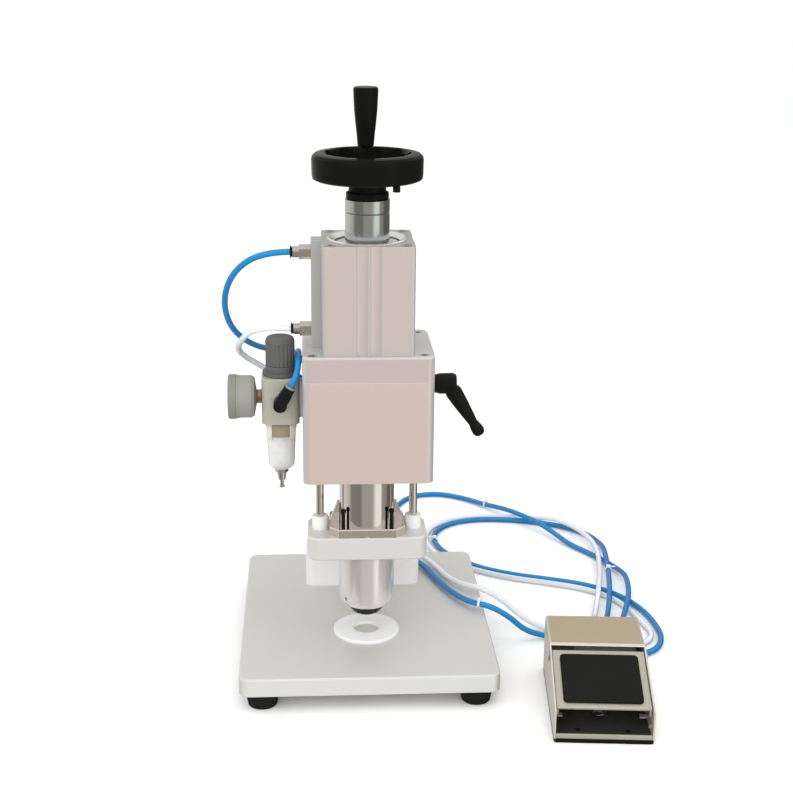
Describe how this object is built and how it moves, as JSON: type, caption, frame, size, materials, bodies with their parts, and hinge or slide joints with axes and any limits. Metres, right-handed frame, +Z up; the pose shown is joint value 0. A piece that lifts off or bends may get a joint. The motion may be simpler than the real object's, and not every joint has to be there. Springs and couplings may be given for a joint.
{
  "type": "bottle capping machine",
  "caption": "Pneumatic bench press that crimps caps onto bottles: height-adjustable head on a post, air cylinder with handwheel stop, filter regulator, and a foot pedal on air hoses.",
  "frame": {"origin": "on the table, straight under the axis of the crimping head", "axes": "+X to the right of the operator, +Y away from the operator towards the post, +Z up"},
  "size_m": [0.4563, 0.6419, 0.5718],
  "materials": {
    "anodised_aluminium": "satin",
    "warm_aluminium": "satin",
    "chrome": "polished",
    "steel": "satin",
    "blackened_steel": "satin",
    "bronze": "satin",
    "rubber": "matte",
    "white_nylon": "matte",
    "black_plastic": "gloss",
    "grey_plastic": "satin",
    "regulator_paint": "satin",
    "clear_plastic": "clear",
    "gauge_paint": "satin",
    "pedal_paint": "satin",
    "pedal_dark": "satin",
    "blue_hose": "gloss",
    "clear_hose": "gloss"
  },
  "bodies": {
    "stand": {"base_plate": "anodised_aluminium", "rubber_feet": "rubber", "base_screws": "steel", "seat_disc": "white_nylon", "post_foot": "anodised_aluminium", "post": "chrome", "pedal_base": "pedal_dark", "pedal_cover": "pedal_paint", "pedal_hinge_pin": "steel", "pedal_valve": "anodised_aluminium", "pedal_fittings": "steel", "treadle_spring": "steel", "hose_top_lower": "blue_hose", "hose_bottom_lower": "clear_hose", "hose_supply_lower": "blue_hose"},
    "head": {"head_block": "warm_aluminium", "head_cap": "anodised_aluminium", "cap_screws": "steel", "guide_bushings": "bronze", "post_clamp": "anodised_aluminium", "cylinder_body": "anodised_aluminium", "cylinder_screws": "steel", "cylinder_cover": "anodised_aluminium", "cylinder_fittings": "steel", "regulator_body": "regulator_paint", "regulator_mount": "anodised_aluminium", "regulator_bonnet": "grey_plastic", "regulator_bowl": "clear_plastic", "filter_element": "white_nylon", "drain_seat": "chrome", "gauge_case": "gauge_paint", "gauge_lens": "clear_plastic", "outlet_elbow": "black_plastic", "hose_top_upper": "blue_hose", "hose_bottom_upper": "clear_hose", "hose_supply_upper": "blue_hose"},
    "ram": {"moving_plate": "anodised_aluminium", "guide_rods": "chrome", "guide_collars": "white_nylon", "ram_tube": "chrome", "crimp_flange": "chrome", "crimp_sleeve": "chrome", "piston": "anodised_aluminium", "spindle": "chrome"},
    "release_pin_left": {"release_pin_left": "black_plastic"},
    "release_pin_right": {"release_pin_right": "black_plastic"},
    "collet": {"collet": "blackened_steel"},
    "ejector": {"ejector_pin": "steel"},
    "stop_sleeve": {"stop_sleeve": "steel"},
    "handwheel": {"handwheel": "black_plastic"},
    "grip": {"spinner_grip": "black_plastic"},
    "regulator_screw": {"regulator_screw": "steel"},
    "regulator_knob": {"regulator_knob": "grey_plastic"},
    "needle": {"gauge_needle": "blackened_steel"},
    "drain_pin": {"drain_pin": "chrome"},
    "clamp_stud": {"clamp_stud": "steel"},
    "clamp_lever": {"clamp_lever": "black_plastic"},
    "treadle": {"treadle": "steel", "treadle_pad": "rubber"},
    "spool": {"pedal_spool": "steel"}
  },
  "joints": [
    {"name": "head_slide", "type": "slide", "parent": "stand", "child": "head", "axis": [0, 0, 1], "range_m": [0, 0.09]},
    {"name": "ram_slide", "type": "slide", "parent": "head", "child": "ram", "axis": [0, 0, 1], "range_m": [0, 0.032]},
    {"name": "stop_slide", "type": "slide", "parent": "ram", "child": "stop_sleeve", "axis": [0, 0, 1], "range_m": [0, 0.0061]},
    {"name": "wheel_turn", "type": "hinge", "parent": "stop_sleeve", "child": "handwheel", "pos_m": [0, 0, 0.49], "axis": [0, 0, 1], "range_deg": [0, 1080]},
    {"name": "grip_spin", "type": "hinge", "parent": "handwheel", "child": "grip", "pos_m": [0, 0.044, 0.54], "axis": [0, 0, 1], "continuous": true},
    {"name": "collet_slide", "type": "slide", "parent": "ram", "child": "collet", "axis": [0, 0, 1], "range_m": [0, 0.004], "stiffness_N_per_m": 4000, "springref_m": -0.003},
    {"name": "ejector_slide", "type": "slide", "parent": "ram", "child": "ejector", "axis": [0, 0, 1], "range_m": [0, 0.006], "stiffness_N_per_m": 500, "springref_m": -0.004},
    {"name": "release_pin_left_lift", "type": "slide", "parent": "ram", "child": "release_pin_left", "axis": [0, 0, 1], "range_m": [0, 0.003], "stiffness_N_per_m": 400, "springref_m": -0.002},
    {"name": "release_pin_right_lift", "type": "slide", "parent": "ram", "child": "release_pin_right", "axis": [0, 0, 1], "range_m": [0, 0.003], "stiffness_N_per_m": 400, "springref_m": -0.002},
    {"name": "regulator_turn", "type": "hinge", "parent": "head", "child": "regulator_screw", "pos_m": [-0.083, 0, 0.32], "axis": [0, 0, 1], "range_deg": [-720, 720]},
    {"name": "knob_lift", "type": "slide", "parent": "regulator_screw", "child": "regulator_knob", "axis": [0, 0, 1], "range_m": [0, 0.003]},
    {"name": "needle_turn", "type": "hinge", "parent": "head", "child": "needle", "pos_m": [-0.125, 0, 0.283], "axis": [1, 0, 0], "range_deg": [0, 270], "stiffness_Nm_per_rad": 0.002, "springref_deg": -11.46},
    {"name": "drain_push", "type": "slide", "parent": "head", "child": "drain_pin", "axis": [0, 0, 1], "range_m": [0, 0.003], "stiffness_N_per_m": 300, "springref_m": -0.002},
    {"name": "clamp_turn", "type": "hinge", "parent": "head", "child": "clamp_stud", "pos_m": [0.07, 0.131, 0.255], "axis": [1, 0, 0], "range_deg": [0, 120]},
    {"name": "lever_pull", "type": "slide", "parent": "clamp_stud", "child": "clamp_lever", "axis": [1, 0, 0], "range_m": [0, 0.004], "stiffness_N_per_m": 800, "springref_m": -0.002},
    {"name": "treadle_press", "type": "hinge", "parent": "stand", "child": "treadle", "pos_m": [0.21847, -0.0945, 0.047], "axis": [0.9962, -0.0872, 0], "range_deg": [0, 10], "stiffness_Nm_per_rad": 3, "springref_deg": -6.88, "deforming": ["treadle_spring"]},
    {"name": "spool_slide", "type": "slide", "parent": "stand", "child": "spool", "axis": [0.0872, 0.9962, 0], "range_m": [0, 0.0031]}
  ],
  "couplings": [
    {"joint": "stop_slide", "follows": "wheel_turn", "m_per_rad": 0.000318},
    {"joint": "spool_slide", "follows": "treadle_press", "m_per_rad": 0.017}
  ]
}
